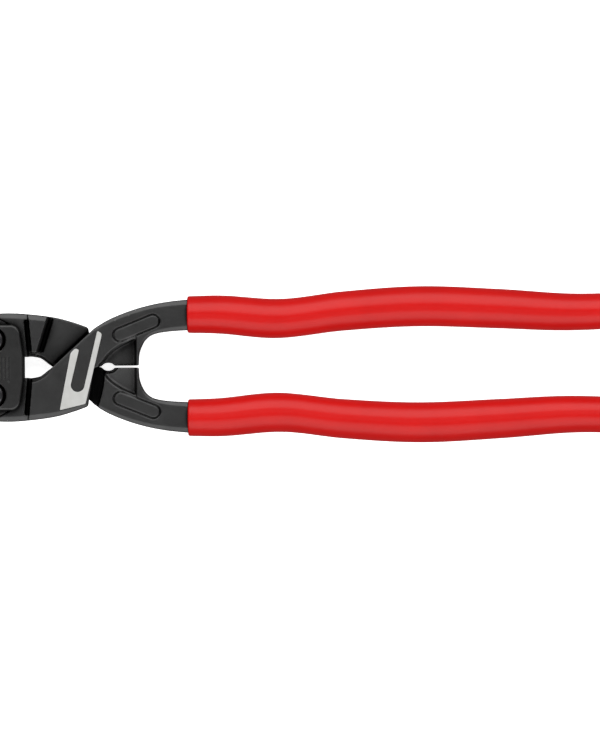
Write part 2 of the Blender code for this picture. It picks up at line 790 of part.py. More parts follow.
def make_nut(name, side, material):
    """A round nut sunk in the rear plate, slotted across its outer face for a driver."""
    top = PLATE_THICKNESS - HEAD_WEB - GAP
    bottom = top - HEAD_HEIGHT
    inner = BOLT_RADIUS + GAP
    profile = [(inner, top), (HEAD_RADIUS, top), (HEAD_RADIUS, bottom), (inner, bottom)]
    nut = turned_body(name, profile, (PLATE_X, side * BOLT_OFFSET), parts)
    size = (SLOT_WIDTH, 4 * HEAD_RADIUS, 2 * SLOT_DEPTH)
    cut(nut, cutting_box(name + "_slot", size, (PLATE_X, side * BOLT_OFFSET, bottom)))
    return finish(nut, material)


def make_bush(name, side, material):
    """A plain bearing sleeve between the bolt and the lever's boss."""
    top = SEAT_HIGH - WASHER_POCKET - GAP / 3
    bottom = SEAT_LOW + WASHER_POCKET + GAP / 3
    inner = BOLT_RADIUS + GAP
    profile = [(inner, top), (BUSH_OUTER, top), (BUSH_OUTER, bottom), (inner, bottom)]
    return finish(turned_body(name, profile, (PLATE_X, side * BOLT_OFFSET), parts), material)


def make_washer(name, side, low, material):
    top = low + WASHER_THICKNESS
    inner = BOLT_RADIUS + GAP
    profile = [(inner, top), (WASHER_OUTER, top), (WASHER_OUTER, low), (inner, low)]
    return finish(turned_body(name, profile, (PLATE_X, side * BOLT_OFFSET), parts), material)


def make_pivots(steel, bronze):
    front_washer = SEAT_HIGH - WASHER_THICKNESS
    rear_washer = SEAT_LOW
    for place, side in (("lower", -1), ("upper", 1)):
        make_bolt(f"{place}_pivot_bolt", side, steel)
        make_nut(f"{place}_pivot_nut", side, steel)
        make_bush(f"{place}_pivot_bush", side, bronze)
        make_washer(f"{place}_front_thrust_washer", side, front_washer, steel)
        make_washer(f"{place}_rear_thrust_washer", side, rear_washer, steel)


def hang_on_pivot(name, side, objects):
    """Parents pieces to an empty on their hinge axis, leaving them where they are."""
    pivot = bpy.data.objects.new(name, None)
    parts.objects.link(pivot)
    pivot.location = (PLATE_X, side * BOLT_OFFSET, MIDDLE)
    bpy.context.view_layer.update()
    for obj in objects:
        obj.parent = pivot
        obj.matrix_parent_inverse = pivot.matrix_world.inverted()


def main():
    clear_scene()
    forged = make_material("black_forged_steel", (0.035, 0.035, 0.036), 0.45, 0.6)
    plate_steel = make_material("black_plate_steel", (0.028, 0.028, 0.029), 0.42, 0.6)
    bright = make_material("bolt_steel", (0.05, 0.05, 0.052), 0.38, 0.8)
    bronze = make_material("bearing_bronze", (0.45, 0.27, 0.12), 0.35, 1.0)
    red = make_material("red_dipped_plastic", (0.62, 0.03, 0.025), 0.32, 0.0)
    upper_lever, lower_lever = make_levers(forged)
    upper_grip, lower_grip = make_grips(red)
    make_plates(plate_steel)
    make_pivots(bright, bronze)
    hang_on_pivot("upper_lever_pivot", -1, [upper_lever, upper_grip])
    hang_on_pivot("lower_lever_pivot", 1, [lower_lever, lower_grip])


main()
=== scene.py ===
import math

import bmesh
import bpy
from mathutils import Matrix, Vector


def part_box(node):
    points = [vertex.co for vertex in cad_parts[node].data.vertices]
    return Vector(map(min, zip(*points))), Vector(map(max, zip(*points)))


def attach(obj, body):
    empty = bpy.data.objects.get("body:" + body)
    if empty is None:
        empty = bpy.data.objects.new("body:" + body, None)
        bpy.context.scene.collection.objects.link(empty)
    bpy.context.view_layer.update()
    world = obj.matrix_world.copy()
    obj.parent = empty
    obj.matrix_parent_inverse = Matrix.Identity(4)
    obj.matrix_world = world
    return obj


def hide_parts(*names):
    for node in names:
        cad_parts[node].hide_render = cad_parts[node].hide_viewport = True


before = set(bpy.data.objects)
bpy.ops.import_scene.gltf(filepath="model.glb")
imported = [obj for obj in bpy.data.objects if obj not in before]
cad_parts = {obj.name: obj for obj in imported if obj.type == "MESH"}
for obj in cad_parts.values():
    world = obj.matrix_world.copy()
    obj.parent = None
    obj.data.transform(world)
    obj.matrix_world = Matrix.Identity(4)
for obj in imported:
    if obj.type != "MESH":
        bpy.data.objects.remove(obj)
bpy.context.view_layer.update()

# Compact bolt cutters, seen from above on a pale floor.
#
# Shapes are drawn in millimetres from the middle of the side plates: x runs along the tool towards
# the handles, y across it towards the upper handle, and z up from the levers' mid-thickness.
# add_piece() moves them into the frame. Both levers are the same forging, one of them turned half
# round about the tool's long axis, and so are the two grips, plates and polished bands.

MM = 0.001


# ---------------------------------------------------------------- places read from the frame

lever_low, lever_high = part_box("upper_lever")
plate_low, plate_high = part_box("front_side_plate")
grip_low, grip_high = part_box("upper_grip")
bolt_low, bolt_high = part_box("upper_pivot_bolt")
bush_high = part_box("upper_pivot_bush")[1]
washer_low, washer_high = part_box("upper_front_thrust_washer")
nut_low, nut_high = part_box("upper_pivot_nut")

ORIGIN = Vector(((bolt_low.x + bolt_high.x) / 2, 0.0, (lever_low.z + lever_high.z) / 2))


def local(corner):
    return (corner - ORIGIN) / MM


FACE = local(lever_high).z
BLADE_TIP = local(lever_low).x
HEAD_SIDE = -local(lever_low).y
PLATE_LEFT = local(plate_low).x
PLATE_RIGHT = local(plate_high).x
PLATE_SIDE = local(plate_high).y
PLATE_UNDER = local(plate_low).z
PLATE_TOP = local(plate_high).z
BOLT_Y = (local(bolt_low).y + local(bolt_high).y) / 2
HEAD_RADIUS = local(bolt_high).y - BOLT_Y
BOLT_CROWN = local(bolt_high).z
STUD_END = local(bolt_low).z
BUSH_RADIUS = local(bush_high).y - BOLT_Y
WASHER_RADIUS = local(washer_high).y - BOLT_Y
SEAT = local(washer_high).z
WASHER_UNDER = local(washer_low).z
NUT_TOP = local(nut_high).z
NUT_UNDER = local(nut_low).z
GRIP_START = local(grip_low).x
HANDLE_END = local(grip_high).x
TANG_END = local(lever_high).x
GRIP_HALF_HEIGHT = local(grip_high).z

# ---------------------------------------------------------------- sizes of the shapes, in millimetres

# Clearances and mesh
GAP = 0.3
BEYOND = 10.0
OVERCUT = 1.0
VOXEL = 0.26
SOFTENING_PASSES = 3
SHARP_ANGLE = math.radians(32)
ARC_STEP = math.radians(4)
CORNER_POINTS = 7
PLATE_CELL = 0.9
BOLT_CELL = 0.45

# Blades and throat
BLADE_HALF_GAP = 0.15
BLADE_EDGE_HALF = 0.3
BLADE_BEVEL_DEPTH = 6.2
THROAT_HALF = 3.7
THROAT_TIP = 20.8
RELIEF_DEPTH = 3.7
THROAT_STEP_DEPTH = 1.3
THROAT_STEP_WIDTH = 0.75

# Crossing arms, wedge and the faces where the levers lap
CROSS = 34.4
CROSS_HALF = 12.4
WEDGE_INNER = 5.2
SHOULDER_RADIUS = 38.9
TRAVEL = math.radians(15)
STEP_CLEARANCE = 0.5
STEP_DRAFT = 0.6
STEP_GROOVE_WIDTH = 1.5
STEP_GROOVE_DEPTH = 2.6
ARM_GROOVE_START = 1.5
ARM_GROOVE_WIDTH = 0.8
LAP_HALF_GAP = 0.15

# Channels beside the plates
CHANNEL_X = 12.2
CHANNEL_SLANT = 1.0
CHANNEL_WIDTH = 1.35
CHANNEL_DEPTH = 3.6
CHANNEL_DRAFT = 0.25
CHANNEL_END = 16.4

# Eye, slit and sunken webs
EYE_START = 37.7
EYE_LENGTH = 4.8
EYE_HALF = 1.35
EYE_RELIEF = 0.95
EYE_RELIEF_FLOOR = 1.2
SLIT_HALF = 0.35
WEB_END = 50.5
WEB_LIP = 0.7
FRONT_WEB_DEPTH = 4.2
REAR_WEB_DEPTH = 2.6
WEB_TILT = math.radians(7)
WEB_TILT_SHARE = 0.4
WEB_FILLET = 1.1
WEB_BEVEL = 0.7

# Root, handle bar and recesses
HANDLE_Y = 17.9
BAR_HALF = 5.35
ROOT_OVERRUN = 2.0
END_CLEARANCE = 0.02
TANG_HALF = 4.9
TANG_RIM = 3.6
TANG_OVERLAP = 3.0
TANG_DROP = 0.1
BAR_STEPS = 60
PILL_LENGTH = 17.6
PILL_WIDTH = 5.3
PILL_ANGLE = math.radians(22)
PILL_DEPTH = 0.9
PILL_FILLET = 0.2
PILL_FLOOR = 0.4
PILL_GROOVE = 0.6

# Boss, knuckle and notch
PITCH_RADIUS = BOLT_Y
BOSS_RADIUS = PITCH_RADIUS - BLADE_HALF_GAP
KNUCKLE_RADIUS = 1.7
KNUCKLE_CLEARANCE = 0.25

# Polished band
BAND_LEAN = math.radians(76.3)
BAND_RAISE = 0.14
BAND_SINK = 0.2
BAND_RIM = 0.08

# Grips
GRIP_WALL = 1.2
GRIP_ROUND = 0.7
SECTION_POWER = 2.1
SECTION_POINTS = 96
SEAM_DEPTH = 0.09
SEAM_WIDTH = 0.9
SEAM_INWARD = 0.7
COLLAR_STEPS = 6
LENGTH_STEPS = 130
END_STEPS = 14
END_SHARE = 0.92

# Plates, bolts and nuts
PLATE_TAPER = 1.0
PLATE_CORNER = 3.6
PLATE_RIM = 0.85
PLATE_HOLE = 3.8
SEAT_FLOOR = 1.0
RIB_COUNT = 8
RIB_SPACING = 1.25
RIB_LENGTH = 8.2
RIB_WIDTH = 0.36
RIB_DEPTH = 0.07
STUD_RADIUS = 3.5
HEAD_HEIGHT = 1.3
DRIVE_RADIUS = 1.7
TURNED_STEPS = 96
NUT_BORE = 3.8
NUT_SLOT_HALF = 0.7
NUT_SLOT_DEPTH = 0.7
NUT_SLOT_REACH = 6.0

# Cross-sections of a rim as shares of its width: how far in from the outline, and how far down
ROUND_RIM = tuple(
    (1 - math.sin(share * math.pi / 12), 1 - math.cos(share * math.pi / 12)) for share in range(7)
)
FLAT_THEN_ROUND_RIM = ((1.3, 0.0), *ROUND_RIM)
BEVELLED_RIM = ((1.0, 0.0), (0.93, 0.012), (0.83, 0.05), (0.15, 0.35), (0.04, 0.43), (0.0, 0.56))

# How far the handle's centre line lies outside HANDLE_Y, and how far the grip swells, at shares of
# the grip's length
HANDLE_LINE = (
    (0.000, 0.0),
    (0.070, -0.1),
    (0.195, -1.6),
    (0.330, 0.8),
    (0.490, 2.25),
    (0.660, 1.2),
    (0.800, -0.1),
    (0.900, 0.2),
    (1.000, 1.5),
)
GRIP_SWELL = (
    (0.00, 0.0),
    (0.13, 0.45),
    (0.25, 0.40),
    (0.52, 0.60),
    (0.70, 0.40),
    (0.87, -0.10),
    (1.00, 0.10),
)


# ---------------------------------------------------------------- curves


def smooth(knots, steps):
    """A Catmull-Rom curve through the knots, with this many steps between each two."""
    ends = [knots[0], *knots, knots[-1]]
    result = []
    for a, b, c, d in zip(ends, ends[1:], ends[2:], ends[3:]):
        for i in range(steps):
            t = i / steps
            result.append(
                tuple(
                    0.5 * (2 * q + (r - p) * t + (2 * p - 5 * q + 4 * r - s) * t * t
                           + (3 * q - p - 3 * r + s) * t ** 3)
                    for p, q, r, s in zip(a, b, c, d)
                )
            )
    result.append(knots[-1])
    return result


def arc(centre, radius, start, end, rim=0.0):
    """Points along an arc, both ends included, each with the rim width given."""
    count = max(2, math.ceil(abs(end - start) / ARC_STEP))
    angles = [start + (end - start) * i / count for i in range(count + 1)]
    return [(centre[0] + radius * math.cos(a), centre[1] + radius * math.sin(a), rim) for a in angles]


def with_rim(points, rim):
    return [(p[0], p[1], rim) for p in points]


def rounded(corners, radius):
    """A polygon with its corners rounded, each by the radius or as much as its sides allow."""
    result = []
    for before, corner, after in zip(corners[-1:] + corners[:-1], corners, corners[1:] + corners[:1]):
        here = Vector(corner[:2])
        to_before = Vector(before[:2]) - here
        to_after = Vector(after[:2]) - here
        reach = corner[2] if len(corner) > 2 else radius
        reach = min(reach, 0.45 * to_before.length, 0.45 * to_after.length)
        first = here + to_before.normalized() * reach
        last = here + to_after.normalized() * reach
        for i in range(CORNER_POINTS):
            t = i / (CORNER_POINTS - 1)
            point = first * (1 - t) ** 2 + here * 2 * t * (1 - t) + last * t * t
            result.append((point.x, point.y))
    return result


def rounded_run(corners, radius):
    """An open run of corners, all rounded but the first and the last, which are left out."""
    return rounded(corners, radius)[CORNER_POINTS:-CORNER_POINTS]


def stadium(centre, length, width, angle, rim=0.0):
    along = Vector((math.cos(angle), math.sin(angle))) * (length - width) / 2
    middle = Vector(centre)
    right = arc(middle + along, width / 2, angle - math.pi / 2, angle + math.pi / 2, rim)
    left = arc(middle - along, width / 2, angle + math.pi / 2, angle + 3 * math.pi / 2, rim)
    return right + left


def between(knots, share):
    """A smooth value through (share, value) knots."""
    last = len(knots) - 1
    i = max(k for k in range(last) if knots[k][0] <= max(share, 0.0))
    (t0, v0), (t1, v1) = knots[i], knots[i + 1]
    before = knots[max(i - 1, 0)]
    after = knots[min(i + 2, last)]
    slope0 = (v1 - before[1]) / (t1 - before[0])
    slope1 = (after[1] - v0) / (after[0] - t0)
    span = t1 - t0
    u = (share - t0) / span
    value = v0 + (v1 - v0) * u * u * (3 - 2 * u)
    return value + span * (slope0 * u * (1 - u) ** 2 - slope1 * u * u * (1 - u))


def handle_centre(x):
    return HANDLE_Y + between(HANDLE_LINE, (x - GRIP_START) / (HANDLE_END - GRIP_START))


def inward(outline):
    """Each point's direction into an anticlockwise outline, lengthened at corners to keep walls even."""
    result = []
    for before, here, after in zip(outline[-1:] + outline[:-1], outline, outline[1:] + outline[:1]):
        back = Vector((here[0] - before[0], here[1] - before[1]))
        ahead = Vector((after[0] - here[0], after[1] - here[1]))
        if back.length < 1e-6 or ahead.length < 1e-6:
            back = ahead = back + ahead
        back.normalize()
        ahead.normalize()
        tangent = (back + ahead).normalized()
        corner = max(0.6, tangent.dot(back))
        result.append(Vector((-tangent.y, tangent.x)) / corner)
    return result


def offset(outline, distance):
    """The outline moved out by a distance."""
    return [(p[0] - n.x * distance, p[1] - n.y * distance) for p, n in zip(outline, inward(outline))]


# ---------------------------------------------------------------- bodies in millimetres


def new_object(name, mesh):
    obj = bpy.data.objects.new(name, mesh)
    bpy.context.scene.collection.objects.link(obj)
    return obj


def body_from_rings(name, rings):
    """A closed body through rings of equal point counts, with a flat face on each end."""
    bm = bmesh.new()
    verts = [[bm.verts.new(point) for point in ring] for ring in rings]
    count = len(verts[0])
    for first, second in zip(verts, verts[1:]):
        for i in range(count):
            j = (i + 1) % count
            bm.faces.new((first[i], first[j], second[j], second[i]))
    bm.faces.new(verts[0])
    bm.faces.new(verts[-1])
    bmesh.ops.remove_doubles(bm, verts=bm.verts, dist=1e-5)
    bmesh.ops.recalc_face_normals(bm, faces=bm.faces)
    mesh = bpy.data.meshes.new(name)
    bm.to_mesh(mesh)
    bm.free()
    return new_object(name, mesh)


def slab(name, outline, low, high, round_low=True, round_high=True, profile=ROUND_RIM):
    """A flat body with shaped rims: each outline point is x, y and the rim's width there."""
    normals = inward(outline)

    def ring(inset, drop, level):
        return [(x + normal.x * rim * inset, y + normal.y * rim * inset, level - rim * drop)
                for (x, y, rim), normal in zip(outline, normals)]

    square = [(0, 0)]
    rings = [ring(inset, -drop, low) for inset, drop in (profile if round_low else square)]
    rings += [ring(inset, drop, high) for inset, drop in (profile[::-1] if round_high else square)]
    return body_from_rings(name, rings)


def prism(name, low_outline, low, high, high_outline=None):
    """A flat body whose walls slant when the upper outline differs from the lower one."""
    upper = high_outline or low_outline
    rings = [[(p[0], p[1], z) for p in points] for points, z in ((low_outline, low), (upper, high))]
    return body_from_rings(name, rings)


def turned(name, profile, place, steps=TURNED_STEPS):
    """A closed profile of (radius, z) points turned about an upright axis."""
    rings = []
    for radius, z in profile:
        angles = [2 * math.pi * i / steps for i in range(steps)]
        rings.append([(place[0] + radius * math.cos(a), place[1] + radius * math.sin(a), z)
                      for a in angles])
    return body_from_rings(name, rings)


def combine(obj, other, operation):
    boolean = obj.modifiers.new(operation.lower(), "BOOLEAN")
    boolean.operation = operation
    boolean.solver = "MANIFOLD"
    boolean.object = other
    other.hide_render = True


def settle(obj, *tools):
    """Applies the modifiers and removes the objects they used."""
    evaluated = obj.evaluated_get(bpy.context.evaluated_depsgraph_get())
    mesh = bpy.data.meshes.new_from_object(evaluated)
    obj.modifiers.clear()
    obj.data = mesh
    for tool in tools:
        bpy.data.objects.remove(tool, do_unlink=True)
    return obj


def divided(obj, step):
    """Cuts the flat faces into cells, which keeps the wear of an edge beside that edge."""
    bm = bmesh.new()
    bm.from_mesh(obj.data)
    for axis in (0, 1):
        low = min(v.co[axis] for v in bm.verts)
        high = max(v.co[axis] for v in bm.verts)
        direction = Vector((1.0 - axis, float(axis), 0.0))
        for i in range(1, math.ceil((high - low) / step)):
            geometry = bm.verts[:] + bm.edges[:] + bm.faces[:]
            bmesh.ops.bisect_plane(bm, geom=geometry, plane_co=direction * (low + i * step),
                                   plane_no=direction, dist=1e-4)
    bm.to_mesh(obj.data)
    bm.free()
    return obj


def crisp(obj):
    """Keeps the turned and cut edges sharp when the piece is shaded smooth."""
    obj.data.shade_smooth()
    obj.data.set_sharp_from_angle(angle=SHARP_ANGLE)
    return obj


def cut(obj, *cutters):
    for cutter in cutters:
        combine(obj, cutter, "DIFFERENCE")
    return settle(obj, *cutters)


def join(obj, *others):
    for other in others:
        combine(obj, other, "UNION")
    return settle(obj, *others)


def soften(obj):
    """Rounds every edge slightly, as forging and blasting do."""
    remesh = obj.modifiers.new("even_mesh", "REMESH")
    remesh.mode = "VOXEL"
    remesh.voxel_size = VOXEL
    smoothing = obj.modifiers.new("softened_edges", "SMOOTH")
    smoothing.factor = 0.5
    smoothing.iterations = SOFTENING_PASSES
    return settle(obj)


# ---------------------------------------------------------------- pieces in the frame


def add_piece(obj, name, body, slot, material, *nodes):
    """Moves a body drawn in millimetres into the frame, gives it its material, sets it on its body and
    hides the nodes it replaces.
    """
    obj.name = name
    obj.data.name = name
    obj.data.transform(Matrix.Translation(ORIGIN) @ Matrix.Scale(MM, 4))
    obj.data.materials.clear()
    obj.data.materials.append(material)
    return enter(obj, body, slot, *nodes)


def enter(obj, body, slot, *nodes):
    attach(obj, body)
    if nodes:
        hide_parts(*nodes)
    return obj


def turned_over(obj, name, body, slot, *nodes):
    """The same piece turned half round about the tool's long axis, on another body."""
    twin = new_object(name, obj.data)
    shift = Matrix.Translation((0.0, 0.0, ORIGIN.z))
    twin.matrix_world = shift @ Matrix.Rotation(math.pi, 4, "X") @ shift.inverted()
    return enter(twin, body, slot, *nodes)


# ---------------------------------------------------------------- lever forging


def head_edge():
    """The outer edge of the lower half of the head, with the width of its rounded rim."""
    return smooth(
        [
            (BLADE_TIP, -0.27 * HEAD_SIDE, 0.5),
            (BLADE_TIP + 1.2, -0.44 * HEAD_SIDE, 0.8),
            (BLADE_TIP + 5.0, -0.68 * HEAD_SIDE, 1.2),
            (BLADE_TIP + 10.8, -0.90 * HEAD_SIDE, 1.5),
            (-1.0, -0.98 * HEAD_SIDE, 1.7),
            (6.6, -HEAD_SIDE, 1.8),
            (14.9, -0.966 * HEAD_SIDE, 1.9),
            (21.9, -0.913 * HEAD_SIDE, 1.7),
            (27.4, -0.834 * HEAD_SIDE, 1.5),
            (CROSS - 2.6, -CROSS_HALF - 1.8, 1.3),
        ],
        6,
    )


def crossing_edge():
    """The arm's rounded corner, its straight right edge, the eye and the slit."""
    rise = ((0.0, GAP / 2), (0.23, 0.8 * EYE_HALF), (0.5, EYE_HALF))
    fall = ((0.77, 0.8 * EYE_HALF), (0.95, SLIT_HALF))
    eye = [(EYE_START + share * EYE_LENGTH, y, 0.15) for share, y in rise + fall]
    return [
        (CROSS - 1.7, -CROSS_HALF - 1.4, 0.7),
        (CROSS - 1.35, -CROSS_HALF - 0.9, 0.5),
        (CROSS - 1.2, -CROSS_HALF - 0.2, 0.4),
        (CROSS + 1.0, -GAP, 0.3),
        *smooth(eye, 4),
        (WEB_END, SLIT_HALF, 0.3),
    ]


def root_edges():
    """The hollow curve behind the web, the end at the grip and the outer curve back to the crossing."""
    inner_y = HANDLE_Y - BAR_HALF
    outer_y = HANDLE_Y + BAR_HALF
    inner = smooth(
        [
            (WEB_END + 0.2, 0.30 * inner_y, 0.35),
            (WEB_END + 0.8, 0.48 * inner_y, 0.4),
            (WEB_END + 2.5, 0.73 * inner_y, 0.6),
            (WEB_END + 5.5, 0.89 * inner_y, 0.9),
            (WEB_END + 11.0, 0.965 * inner_y, 1.3),
            (GRIP_START + ROOT_OVERRUN, inner_y, 1.6),
        ],
        6,
    )
    outer = smooth(
        [
            (GRIP_START + ROOT_OVERRUN, outer_y, 1.8),
            (WEB_END + 11.0, 0.966 * outer_y, 1.6),
            (WEB_END + 4.0, 0.912 * outer_y, 1.4),
            (WEB_END - 3.0, 0.826 * outer_y, 1.3),
            (WEB_END - 9.9, 0.706 * outer_y, 1.2),
            (CROSS + 1.4, 0.585 * outer_y, 0.8),
            (CROSS, CROSS_HALF, 0.6),
        ],
        6,
    )
    return inner + outer


def throat_edge():
    """The lower edge of the throat, from its tip to the boss."""
    shape = ((0.0, 0.0), (1.7, 0.33), (3.1, 0.63), (4.5, 0.86), (7.3, 1.0), (8.6, 0.97))
    return smooth([(THROAT_TIP - back, -share * THROAT_HALF, 0.3) for back, share in shape], 5)


def boss_and_blade():
    start = math.asin((BOLT_Y - THROAT_HALF) / BOSS_RADIUS)
    return [
        *arc((0.0, -BOLT_Y), BOSS_RADIUS, start, math.pi / 2, 0.15),
        (-3.0, -BLADE_HALF_GAP, 0.0),
        (BLADE_TIP + 0.8, -BLADE_HALF_GAP, 0.0),
        (BLADE_TIP, -BLADE_HALF_GAP - 0.8, 0.0),
    ]


def channel_x(y):
    """The channel's left edge, upright near the throat and slanted towards the outer edge."""
    share = max(0.0, (-WEDGE_INNER - y) / (CHANNEL_END - WEDGE_INNER))
    return CHANNEL_X - CHANNEL_SLANT * share


def head_end():
    """Takes away the forging's full height left of the channel, where the seats are lower."""
    outside = -HEAD_SIDE - BEYOND
    line = [(channel_x(y) + CHANNEL_WIDTH, y) for y in (outside, -CHANNEL_END, -WEDGE_INNER, 0.0)]
    outline = [(BLADE_TIP - BEYOND, outside), *line, (line[-1][0], BEYOND), (BLADE_TIP - BEYOND, BEYOND)]
    return prism("head_end", outline, -FACE - BEYOND, FACE + BEYOND)


def handle_end():
    """Takes away the head's seat-high body right of the channel."""
    start = CHANNEL_X + 3.0
    outline = [(start, -2 * HEAD_SIDE), (HANDLE_END, -2 * HEAD_SIDE), (HANDLE_END, 2 * HEAD_SIDE),
               (start, 2 * HEAD_SIDE)]
    return prism("handle_end", outline, -BEYOND, BEYOND)


def channel_cutters():
    """A narrow slanted groove beside each plate, on both faces."""
    places = (-CHANNEL_END, -WEDGE_INNER, 0.0)
    left = [(channel_x(y), y) for y in places]
    right = [(x + CHANNEL_WIDTH, y) for x, y in reversed(left)]
    floor = left + right
    wide = offset(floor[::-1], CHANNEL_DRAFT)[::-1]
    return [
        prism("front_channel", floor, SEAT - CHANNEL_DEPTH, FACE + OVERCUT, wide),
        prism("rear_channel", wide, -FACE - OVERCUT, CHANNEL_DEPTH - SEAT, floor),
    ]


def step_line(shift):
    """The wedge's slanted wall, clear of the other arm when the tool is open: its two ends."""
    turn = Matrix.Rotation(2 * TRAVEL, 2)
    near = turn @ Vector((THROAT_TIP, 0.0))
    far = turn @ Vector((CROSS, CROSS_HALF))
    slope = (far.x - near.x) / (far.y - near.y)
    return [(near.x + slope * (y - near.y) - STEP_CLEARANCE + shift, -y)
            for y in (WEDGE_INNER, HEAD_SIDE + BEYOND)]


def lap_pocket():
    """Takes away the rear half of the crossing arm, from the wedge's slanted wall to the shoulder."""

    def outline(draft):
        steps = step_line(-draft)
        shoulder = arc((0.0, 0.0), SHOULDER_RADIUS + 0.4 * draft, math.radians(-38), math.radians(30))
        inner = [(PLATE_RIGHT + 4.2, HEAD_SIDE + BEYOND), (PLATE_RIGHT - 0.8, 0.0)]
        return [steps[1], *shoulder, *inner, (PLATE_RIGHT + 2.0, -WEDGE_INNER), steps[0]]

    steeper = STEP_DRAFT * (FACE + OVERCUT) / FACE
    return prism("lap_pocket", outline(steeper), -FACE - OVERCUT, LAP_HALF_GAP, outline(0.0))


def throat_relief():
    """A steep slope from the front face down to the throat's edge."""

    def outline(reach):
        corners = [
            (PLATE_RIGHT + 1.0, BEYOND),
            (PLATE_RIGHT + 1.0, -THROAT_HALF - 1.5 * reach),
            (THROAT_TIP - 6.4, -THROAT_HALF - 1.6 * reach),
            (THROAT_TIP - 4.4, -3.2 - 1.3 * reach),
            (THROAT_TIP - 2.3, -2.0 - 1.2 * reach),
            (THROAT_TIP - 0.6 + 0.4 * reach, -0.2 - 0.7 * reach),
            (THROAT_TIP - 0.6 + 0.4 * reach, BEYOND),
        ]
        return rounded(corners, 1.0)

    return prism("throat_relief", outline(0.05), FACE - RELIEF_DEPTH, FACE + 0.2, outline(1.05))


def lap_grooves():
    """Grooves in the lap face, along the wedge's wall and along the arm that lies on it."""
    wall = step_line(-0.1) + step_line(STEP_GROOVE_WIDTH)[::-1]
    start = Vector((THROAT_TIP, 0.0))
    end = Vector((CROSS, -CROSS_HALF))
    along = (end - start).normalized()
    out = Vector((along.y, -along.x))
    start += along * ARM_GROOVE_START
    arm = [tuple(point + out * reach) for point, reach in (
        (start, ARM_GROOVE_WIDTH), (end, ARM_GROOVE_WIDTH), (end, -GAP), (start, -GAP))]
    return [
        prism("wall_groove", wall, -FACE - OVERCUT, LAP_HALF_GAP + STEP_GROOVE_DEPTH),
        prism("arm_groove", arm, -FACE - OVERCUT, LAP_HALF_GAP + THROAT_STEP_DEPTH),
    ]


def throat_step():
    """A narrow step along the throat's edge in the lap face, from its tip to near the channel."""
    start = CHANNEL_X + CHANNEL_WIDTH + THROAT_STEP_WIDTH
    edge = [(x + 0.5 * THROAT_STEP_WIDTH, y - THROAT_STEP_WIDTH) for x, y, _ in throat_edge() if x > start]
    outline = [*edge, (edge[-1][0], OVERCUT), (edge[0][0], OVERCUT)]
    return prism("throat_step", outline, -FACE - OVERCUT, LAP_HALF_GAP + THROAT_STEP_DEPTH)


def blade_cutters():
    """Grind the blade to an edge from both faces, in front of the plates."""
    half = SEAT
    right = PLATE_LEFT - GAP
    left = BLADE_TIP - BEYOND
    result = []
    for side in (-1, 1):
        section = [
            (-BLADE_HALF_GAP, BLADE_EDGE_HALF),
            (-BLADE_BEVEL_DEPTH, half),
            (-BLADE_BEVEL_DEPTH, half + BEYOND),
            (BEYOND, half + BEYOND),
            (BEYOND, BLADE_EDGE_HALF),
        ]
        rings = [[(x, y, side * z) for y, z in section] for x in (left, right)]
        result.append(body_from_rings("blade_bevel", rings))
    return result


def web_outline():
    """The sunken web: a long hollow curve from the eye out to the lip."""
    lip = WEB_END - WEB_LIP
    inner_y = HANDLE_Y - BAR_HALF
    curve = smooth(
        [
            (lip, 0.80 * inner_y),
            (lip - 1.9, 0.745 * inner_y),
            (lip - 5.4, 0.60 * inner_y),
            (lip - 8.9, 0.40 * inner_y),
            (lip - 11.3, 0.17 * inner_y),
            (CROSS + 2.6, -EYE_HALF),
        ],
        5,
    )
    return with_rim(curve + [(lip, -EYE_HALF)], WEB_FILLET)


def web_cutters():
    """Sunken webs beside the slit, on both faces, deeper towards the slit, with a bevelled edge."""
    outline = web_outline()
    result = []
    for side, depth in ((-1, REAR_WEB_DEPTH), (1, FRONT_WEB_DEPTH)):
        pool = slab("web", outline, FACE - depth, FACE + BEYOND, round_high=False)
        tilt = Matrix.Rotation(WEB_TILT, 4, "X")
        level = Matrix.Translation((0.0, WEB_TILT_SHARE * HANDLE_Y, FACE - depth))
        pool.data.transform(level @ tilt @ level.inverted())
        rim = prism("web_rim", offset(outline, -0.1), FACE - WEB_BEVEL, FACE + 0.4,
                    offset(outline, WEB_BEVEL))
        for cutter in (pool, rim):
            if side < 0:
                cutter.data.transform(Matrix.Diagonal((1, 1, -1, 1)))
                cutter.data.flip_normals()
            result.append(cutter)
    return result


def eye_cutters():
    """A deep step round the eye, on both faces, with a thin land left between them."""
    centre = EYE_START + 0.5 * EYE_LENGTH
    long_half = 0.5 * EYE_LENGTH + EYE_RELIEF
    short_half = EYE_HALF + EYE_RELIEF
    outline = [(centre + long_half * math.cos(a), short_half * math.sin(a))
               for a in (2 * math.pi * i / 48 for i in range(48))]
    return [
        prism("front_eye_step", outline, EYE_RELIEF_FLOOR, FACE + OVERCUT),
        prism("rear_eye_step", outline, -FACE - OVERCUT, -EYE_RELIEF_FLOOR),
    ]


def pill(inset):
    """The outline of the root's long recess, or of a smaller one inside it."""
    place = (WEB_END - 0.5, 0.745 * HANDLE_Y)
    return stadium(place, PILL_LENGTH - 2 * inset, PILL_WIDTH - 2 * inset, PILL_ANGLE, PILL_FILLET)


def pill_cutters():
    return [
        slab("front_pill", pill(0.0), FACE - PILL_DEPTH, FACE + BEYOND, round_high=False),
        slab("rear_pill", pill(0.0), -FACE - BEYOND, PILL_DEPTH - FACE, round_low=False),
    ]


def pill_floors():
    """Raises the middle of both recesses, which leaves a groove round it."""
    floor = FACE - PILL_FLOOR
    return [
        slab("front_floor", pill(PILL_GROOVE), FACE - PILL_DEPTH - OVERCUT, floor, round_low=False),
        slab("rear_floor", pill(PILL_GROOVE), -floor, OVERCUT + PILL_DEPTH - FACE, round_high=False),
    ]


